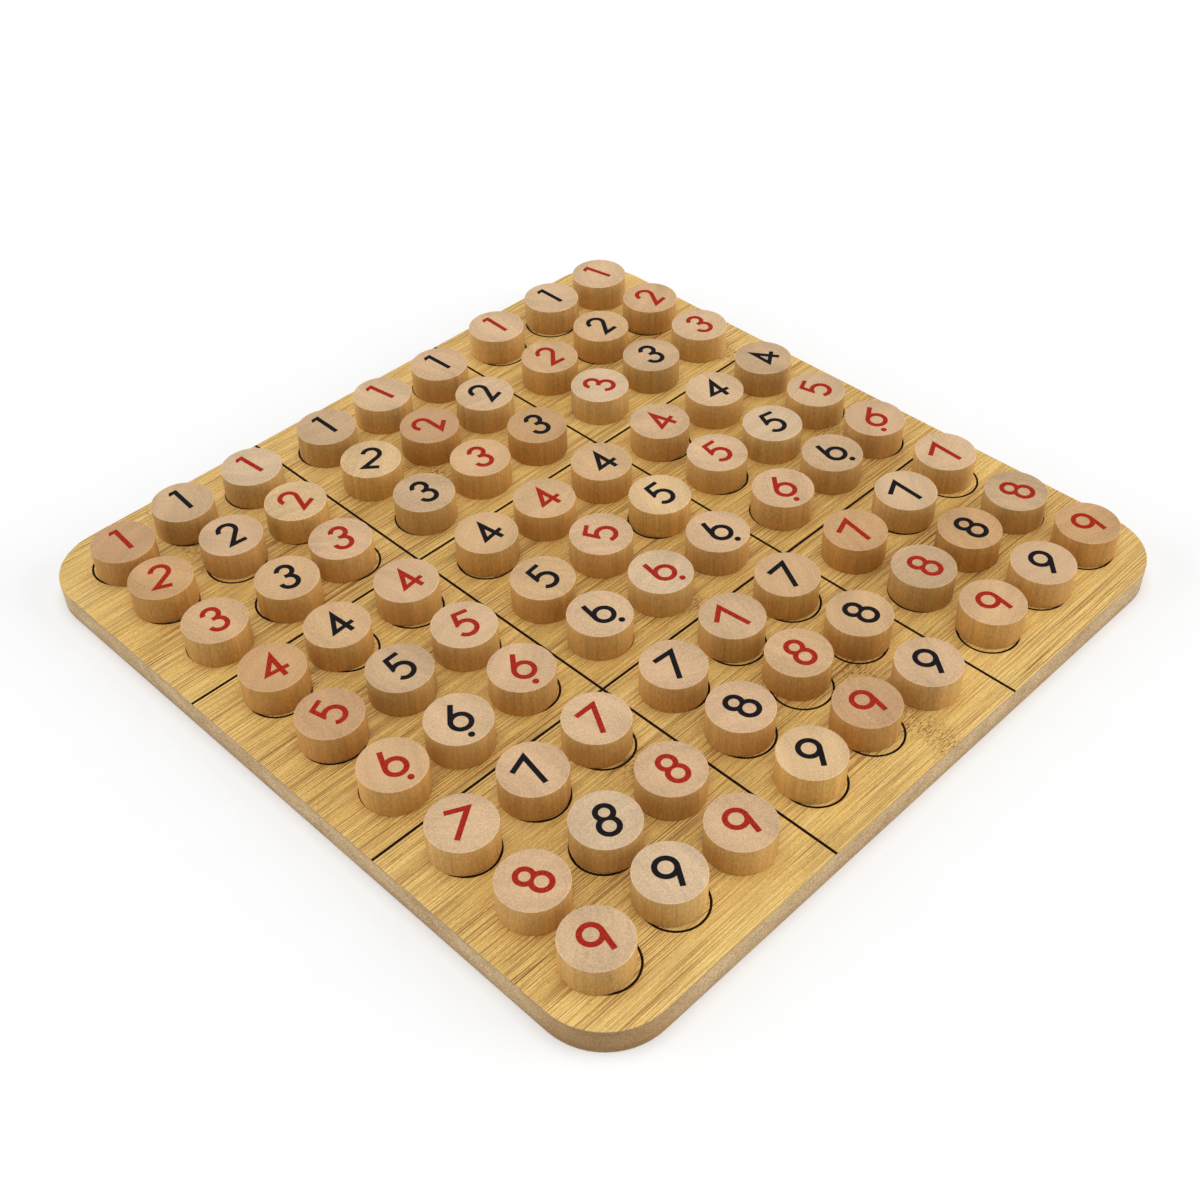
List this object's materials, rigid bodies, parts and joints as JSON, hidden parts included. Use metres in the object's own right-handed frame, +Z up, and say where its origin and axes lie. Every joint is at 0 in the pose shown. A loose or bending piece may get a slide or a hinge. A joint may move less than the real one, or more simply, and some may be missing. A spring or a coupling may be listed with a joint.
{
  "type": "sudoku board",
  "caption": "Square bamboo-veneered sudoku board with rounded corners, black block lines and a ring for each cell, and loose round wooden discs numbered in red or black.",
  "frame": {"origin": "middle of the board's underside", "axes": "+Z up from the table; -Y towards the player, so that the digits read upright along +Y; +X along the bamboo's grain, to the player's right"},
  "size_m": [0.254, 0.254, 0.019],
  "materials": {
    "bamboo_veneer": "satin lacquered bamboo",
    "fibreboard": "sanded raw fibreboard edge",
    "black_ink": "matt printed ink",
    "disc_wood": "fine-sanded end grain of a pale hardwood"
  },
  "bodies": {
    "board": {"bottom_veneer": "bamboo_veneer", "board_core": "fibreboard", "top_veneer": "bamboo_veneer", "block_lines": "black_ink", "cell_rings": "black_ink"},
    "red_disc_1_column_1": {"red_disc_1_column_1": "disc_wood"},
    "red_disc_1_column_3": {"red_disc_1_column_3": "disc_wood"},
    "red_disc_1_column_5": {"red_disc_1_column_5": "disc_wood"},
    "red_disc_1_column_7": {"red_disc_1_column_7": "disc_wood"},
    "red_disc_1_column_9": {"red_disc_1_column_9": "disc_wood"},
    "red_disc_2_column_1": {"red_disc_2_column_1": "disc_wood"},
    "red_disc_2_column_3": {"red_disc_2_column_3": "disc_wood"},
    "red_disc_2_column_5": {"red_disc_2_column_5": "disc_wood"},
    "red_disc_2_column_7": {"red_disc_2_column_7": "disc_wood"},
    "red_disc_2_column_9": {"red_disc_2_column_9": "disc_wood"},
    "red_disc_3_column_1": {"red_disc_3_column_1": "disc_wood"},
    "red_disc_3_column_3": {"red_disc_3_column_3": "disc_wood"},
    "red_disc_3_column_5": {"red_disc_3_column_5": "disc_wood"},
    "red_disc_3_column_7": {"red_disc_3_column_7": "disc_wood"},
    "red_disc_3_column_9": {"red_disc_3_column_9": "disc_wood"},
    "red_disc_4_column_1": {"red_disc_4_column_1": "disc_wood"},
    "red_disc_4_column_3": {"red_disc_4_column_3": "disc_wood"},
    "red_disc_4_column_5": {"red_disc_4_column_5": "disc_wood"},
    "red_disc_4_column_7": {"red_disc_4_column_7": "disc_wood"},
    "red_disc_5_column_1": {"red_disc_5_column_1": "disc_wood"},
    "red_disc_5_column_3": {"red_disc_5_column_3": "disc_wood"},
    "red_disc_5_column_5": {"red_disc_5_column_5": "disc_wood"},
    "red_disc_5_column_7": {"red_disc_5_column_7": "disc_wood"},
    "red_disc_5_column_9": {"red_disc_5_column_9": "disc_wood"},
    "red_disc_6_column_1": {"red_disc_6_column_1": "disc_wood"},
    "red_disc_6_column_3": {"red_disc_6_column_3": "disc_wood"},
    "red_disc_6_column_5": {"red_disc_6_column_5": "disc_wood"},
    "red_disc_6_column_7": {"red_disc_6_column_7": "disc_wood"},
    "red_disc_6_column_9": {"red_disc_6_column_9": "disc_wood"},
    "red_disc_7_column_1": {"red_disc_7_column_1": "disc_wood"},
    "red_disc_7_column_3": {"red_disc_7_column_3": "disc_wood"},
    "red_disc_7_column_5": {"red_disc_7_column_5": "disc_wood"},
    "red_disc_7_column_7": {"red_disc_7_column_7": "disc_wood"},
    "red_disc_7_column_9": {"red_disc_7_column_9": "disc_wood"},
    "red_disc_8_column_1": {"red_disc_8_column_1": "disc_wood"},
    "red_disc_8_column_3": {"red_disc_8_column_3": "disc_wood"},
    "red_disc_8_column_5": {"red_disc_8_column_5": "disc_wood"},
    "red_disc_8_column_7": {"red_disc_8_column_7": "disc_wood"},
    "red_disc_8_column_9": {"red_disc_8_column_9": "disc_wood"},
    "red_disc_9_column_1": {"red_disc_9_column_1": "disc_wood"},
    "red_disc_9_column_3": {"red_disc_9_column_3": "disc_wood"},
    "red_disc_9_column_5": {"red_disc_9_column_5": "disc_wood"},
    "red_disc_9_column_7": {"red_disc_9_column_7": "disc_wood"},
    "red_disc_9_column_9": {"red_disc_9_column_9": "disc_wood"},
    "black_discs_1": {"black_discs_1": "disc_wood"},
    "black_discs_2": {"black_discs_2": "disc_wood"},
    "black_discs_3": {"black_discs_3": "disc_wood"},
    "black_discs_4": {"black_discs_4": "disc_wood"},
    "black_discs_5": {"black_discs_5": "disc_wood"},
    "black_discs_6": {"black_discs_6": "disc_wood"},
    "black_discs_7": {"black_discs_7": "disc_wood"},
    "black_discs_8": {"black_discs_8": "disc_wood"},
    "black_discs_9": {"black_discs_9": "disc_wood"}
  },
  "joints": [
    {"name": "lift_red_1_column_1", "type": "slide", "parent": "board", "child": "red_disc_1_column_1", "axis": [0, 0, 1], "range_m": [0, 0.04]},
    {"name": "lift_red_1_column_3", "type": "slide", "parent": "board", "child": "red_disc_1_column_3", "axis": [0, 0, 1], "range_m": [0, 0.04]},
    {"name": "lift_red_1_column_5", "type": "slide", "parent": "board", "child": "red_disc_1_column_5", "axis": [0, 0, 1], "range_m": [0, 0.04]},
    {"name": "lift_red_1_column_7", "type": "slide", "parent": "board", "child": "red_disc_1_column_7", "axis": [0, 0, 1], "range_m": [0, 0.04]},
    {"name": "lift_red_1_column_9", "type": "slide", "parent": "board", "child": "red_disc_1_column_9", "axis": [0, 0, 1], "range_m": [0, 0.04]},
    {"name": "lift_red_2_column_1", "type": "slide", "parent": "board", "child": "red_disc_2_column_1", "axis": [0, 0, 1], "range_m": [0, 0.04]},
    {"name": "lift_red_2_column_3", "type": "slide", "parent": "board", "child": "red_disc_2_column_3", "axis": [0, 0, 1], "range_m": [0, 0.04]},
    {"name": "lift_red_2_column_5", "type": "slide", "parent": "board", "child": "red_disc_2_column_5", "axis": [0, 0, 1], "range_m": [0, 0.04]},
    {"name": "lift_red_2_column_7", "type": "slide", "parent": "board", "child": "red_disc_2_column_7", "axis": [0, 0, 1], "range_m": [0, 0.04]},
    {"name": "lift_red_2_column_9", "type": "slide", "parent": "board", "child": "red_disc_2_column_9", "axis": [0, 0, 1], "range_m": [0, 0.04]},
    {"name": "lift_red_3_column_1", "type": "slide", "parent": "board", "child": "red_disc_3_column_1", "axis": [0, 0, 1], "range_m": [0, 0.04]},
    {"name": "lift_red_3_column_3", "type": "slide", "parent": "board", "child": "red_disc_3_column_3", "axis": [0, 0, 1], "range_m": [0, 0.04]},
    {"name": "lift_red_3_column_5", "type": "slide", "parent": "board", "child": "red_disc_3_column_5", "axis": [0, 0, 1], "range_m": [0, 0.04]},
    {"name": "lift_red_3_column_7", "type": "slide", "parent": "board", "child": "red_disc_3_column_7", "axis": [0, 0, 1], "range_m": [0, 0.04]},
    {"name": "lift_red_3_column_9", "type": "slide", "parent": "board", "child": "red_disc_3_column_9", "axis": [0, 0, 1], "range_m": [0, 0.04]},
    {"name": "lift_red_4_column_1", "type": "slide", "parent": "board", "child": "red_disc_4_column_1", "axis": [0, 0, 1], "range_m": [0, 0.04]},
    {"name": "lift_red_4_column_3", "type": "slide", "parent": "board", "child": "red_disc_4_column_3", "axis": [0, 0, 1], "range_m": [0, 0.04]},
    {"name": "lift_red_4_column_5", "type": "slide", "parent": "board", "child": "red_disc_4_column_5", "axis": [0, 0, 1], "range_m": [0, 0.04]},
    {"name": "lift_red_4_column_7", "type": "slide", "parent": "board", "child": "red_disc_4_column_7", "axis": [0, 0, 1], "range_m": [0, 0.04]},
    {"name": "lift_red_5_column_1", "type": "slide", "parent": "board", "child": "red_disc_5_column_1", "axis": [0, 0, 1], "range_m": [0, 0.04]},
    {"name": "lift_red_5_column_3", "type": "slide", "parent": "board", "child": "red_disc_5_column_3", "axis": [0, 0, 1], "range_m": [0, 0.04]},
    {"name": "lift_red_5_column_5", "type": "slide", "parent": "board", "child": "red_disc_5_column_5", "axis": [0, 0, 1], "range_m": [0, 0.04]},
    {"name": "lift_red_5_column_7", "type": "slide", "parent": "board", "child": "red_disc_5_column_7", "axis": [0, 0, 1], "range_m": [0, 0.04]},
    {"name": "lift_red_5_column_9", "type": "slide", "parent": "board", "child": "red_disc_5_column_9", "axis": [0, 0, 1], "range_m": [0, 0.04]},
    {"name": "lift_red_6_column_1", "type": "slide", "parent": "board", "child": "red_disc_6_column_1", "axis": [0, 0, 1], "range_m": [0, 0.04]},
    {"name": "lift_red_6_column_3", "type": "slide", "parent": "board", "child": "red_disc_6_column_3", "axis": [0, 0, 1], "range_m": [0, 0.04]},
    {"name": "lift_red_6_column_5", "type": "slide", "parent": "board", "child": "red_disc_6_column_5", "axis": [0, 0, 1], "range_m": [0, 0.04]},
    {"name": "lift_red_6_column_7", "type": "slide", "parent": "board", "child": "red_disc_6_column_7", "axis": [0, 0, 1], "range_m": [0, 0.04]},
    {"name": "lift_red_6_column_9", "type": "slide", "parent": "board", "child": "red_disc_6_column_9", "axis": [0, 0, 1], "range_m": [0, 0.04]},
    {"name": "lift_red_7_column_1", "type": "slide", "parent": "board", "child": "red_disc_7_column_1", "axis": [0, 0, 1], "range_m": [0, 0.04]},
    {"name": "lift_red_7_column_3", "type": "slide", "parent": "board", "child": "red_disc_7_column_3", "axis": [0, 0, 1], "range_m": [0, 0.04]},
    {"name": "lift_red_7_column_5", "type": "slide", "parent": "board", "child": "red_disc_7_column_5", "axis": [0, 0, 1], "range_m": [0, 0.04]},
    {"name": "lift_red_7_column_7", "type": "slide", "parent": "board", "child": "red_disc_7_column_7", "axis": [0, 0, 1], "range_m": [0, 0.04]},
    {"name": "lift_red_7_column_9", "type": "slide", "parent": "board", "child": "red_disc_7_column_9", "axis": [0, 0, 1], "range_m": [0, 0.04]},
    {"name": "lift_red_8_column_1", "type": "slide", "parent": "board", "child": "red_disc_8_column_1", "axis": [0, 0, 1], "range_m": [0, 0.04]},
    {"name": "lift_red_8_column_3", "type": "slide", "parent": "board", "child": "red_disc_8_column_3", "axis": [0, 0, 1], "range_m": [0, 0.04]},
    {"name": "lift_red_8_column_5", "type": "slide", "parent": "board", "child": "red_disc_8_column_5", "axis": [0, 0, 1], "range_m": [0, 0.04]},
    {"name": "lift_red_8_column_7", "type": "slide", "parent": "board", "child": "red_disc_8_column_7", "axis": [0, 0, 1], "range_m": [0, 0.04]},
    {"name": "lift_red_8_column_9", "type": "slide", "parent": "board", "child": "red_disc_8_column_9", "axis": [0, 0, 1], "range_m": [0, 0.04]},
    {"name": "lift_red_9_column_1", "type": "slide", "parent": "board", "child": "red_disc_9_column_1", "axis": [0, 0, 1], "range_m": [0, 0.04]},
    {"name": "lift_red_9_column_3", "type": "slide", "parent": "board", "child": "red_disc_9_column_3", "axis": [0, 0, 1], "range_m": [0, 0.04]},
    {"name": "lift_red_9_column_5", "type": "slide", "parent": "board", "child": "red_disc_9_column_5", "axis": [0, 0, 1], "range_m": [0, 0.04]},
    {"name": "lift_red_9_column_7", "type": "slide", "parent": "board", "child": "red_disc_9_column_7", "axis": [0, 0, 1], "range_m": [0, 0.04]},
    {"name": "lift_red_9_column_9", "type": "slide", "parent": "board", "child": "red_disc_9_column_9", "axis": [0, 0, 1], "range_m": [0, 0.04]},
    {"name": "lift_black_1", "type": "slide", "parent": "board", "child": "black_discs_1", "axis": [0, 0, 1], "range_m": [0, 0.04]},
    {"name": "lift_black_2", "type": "slide", "parent": "board", "child": "black_discs_2", "axis": [0, 0, 1], "range_m": [0, 0.04]},
    {"name": "lift_black_3", "type": "slide", "parent": "board", "child": "black_discs_3", "axis": [0, 0, 1], "range_m": [0, 0.04]},
    {"name": "lift_black_4", "type": "slide", "parent": "board", "child": "black_discs_4", "axis": [0, 0, 1], "range_m": [0, 0.04]},
    {"name": "lift_black_5", "type": "slide", "parent": "board", "child": "black_discs_5", "axis": [0, 0, 1], "range_m": [0, 0.04]},
    {"name": "lift_black_6", "type": "slide", "parent": "board", "child": "black_discs_6", "axis": [0, 0, 1], "range_m": [0, 0.04]},
    {"name": "lift_black_7", "type": "slide", "parent": "board", "child": "black_discs_7", "axis": [0, 0, 1], "range_m": [0, 0.04]},
    {"name": "lift_black_8", "type": "slide", "parent": "board", "child": "black_discs_8", "axis": [0, 0, 1], "range_m": [0, 0.04]},
    {"name": "lift_black_9", "type": "slide", "parent": "board", "child": "black_discs_9", "axis": [0, 0, 1], "range_m": [0, 0.04]}
  ]
}
